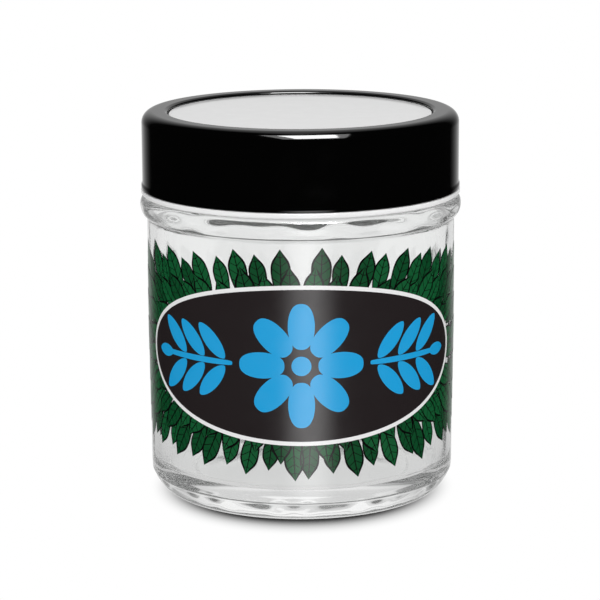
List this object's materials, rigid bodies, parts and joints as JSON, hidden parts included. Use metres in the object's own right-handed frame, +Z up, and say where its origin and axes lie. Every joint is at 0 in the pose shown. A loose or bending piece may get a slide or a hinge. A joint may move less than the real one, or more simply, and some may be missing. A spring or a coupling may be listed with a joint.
{
  "type": "airtight glass jar",
  "caption": "Straight-sided clear glass storage jar with a screw lid: a glossy black shell round a milky inner cap that makes its window, sealed by a soft ring on the rim.",
  "frame": {"origin": "centre of the base, on the surface that the jar stands on", "axes": "+Z up along the jar's axis, -Y to the decorated front, +X to the right seen from the front"},
  "size_m": [0.0772, 0.0772, 0.0929],
  "materials": {
    "clear_glass": "clear, fire-polished glass",
    "pale_silicone": "soft satin, milky",
    "milky_plastic": "milky, smooth moulding",
    "black_plastic": "glossy black moulding"
  },
  "bodies": {
    "jar": {"glass_jar": "clear_glass"},
    "seal": {"seal_ring": "pale_silicone"},
    "lid": {"lid_inner_cap": "milky_plastic", "lid_outer_shell": "black_plastic"}
  },
  "joints": [
    {"name": "lid_rise", "type": "slide", "parent": "jar", "child": "seal", "axis": [0, 0, 1], "range_m": [0, 0.02032]},
    {"name": "lid_turn", "type": "hinge", "parent": "seal", "child": "lid", "pos_m": [0, 0, 0.09], "axis": [0, 0, 1], "range_deg": [0, 1440]}
  ],
  "couplings": [
    {"joint": "lid_rise", "follows": "lid_turn", "m_per_rad": 0.00080851}
  ]
}
